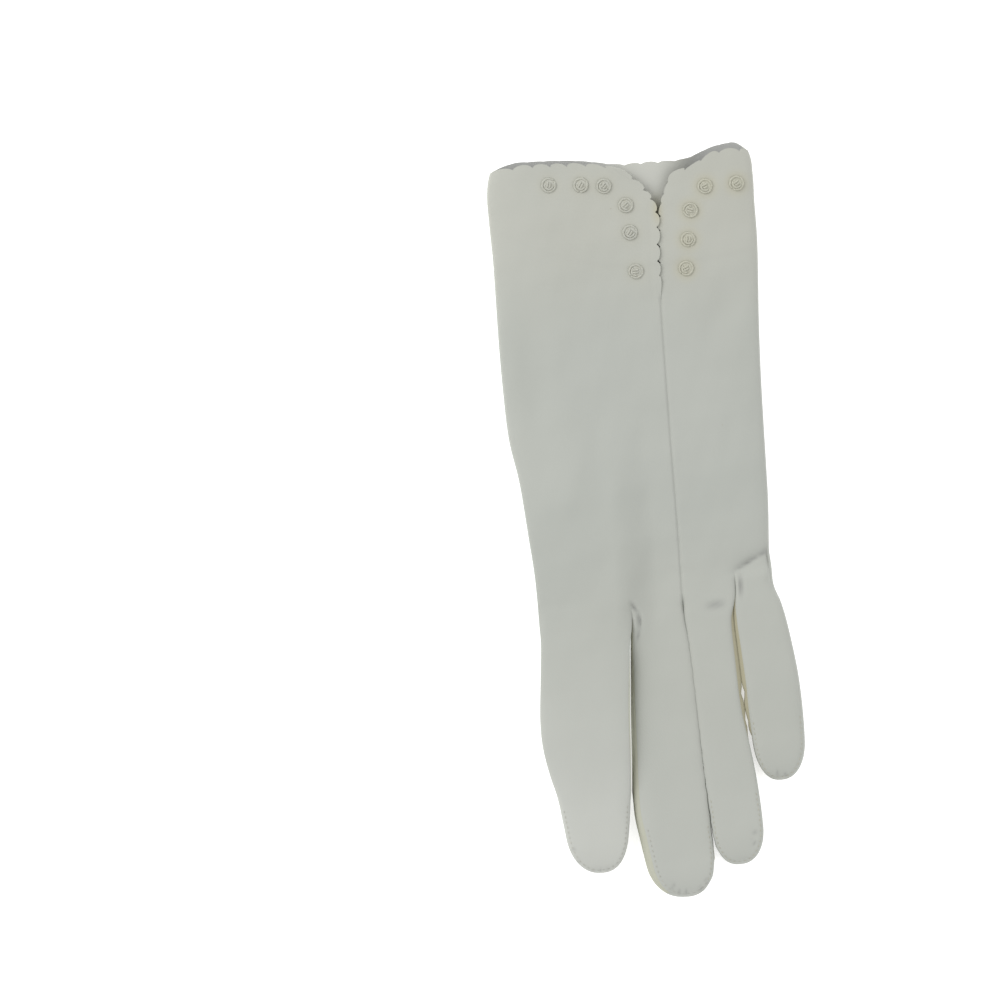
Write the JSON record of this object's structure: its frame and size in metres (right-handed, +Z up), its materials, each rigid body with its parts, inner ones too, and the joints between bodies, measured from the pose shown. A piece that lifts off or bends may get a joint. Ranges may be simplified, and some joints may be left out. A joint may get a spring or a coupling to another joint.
{
  "type": "wrist length dress glove",
  "caption": "Ladies' cloth dress glove lying palm down, with scalloped cuff, open back vent, thread rosettes and strips between the fingers; hollow for a left hand.",
  "frame": {"origin": "bottom centre of the glove as it lies palm down", "axes": "+Y from the fingertips towards the cuff, +X towards the little finger, +Z up out of the back of the hand"},
  "size_m": [0.0892, 0.2428, 0.0125],
  "materials": {
    "cloth": "matte off-white cotton cloth",
    "fourchette_cloth": "matte cotton cloth, yellowed",
    "thread": "coiled cotton thread"
  },
  "bodies": {
    "root": {"trank": "cloth", "thumb": "cloth", "fourchette_index_middle": "fourchette_cloth", "fourchette_middle_ring": "fourchette_cloth", "fourchette_ring_little": "fourchette_cloth", "rosette_01": "thread", "rosette_02": "thread", "rosette_03": "thread", "rosette_04": "thread", "rosette_05": "thread", "rosette_06": "thread", "rosette_07": "thread", "rosette_08": "thread", "rosette_09": "thread", "rosette_10": "thread", "rosette_11": "thread"}
  },
  "joints": []
}
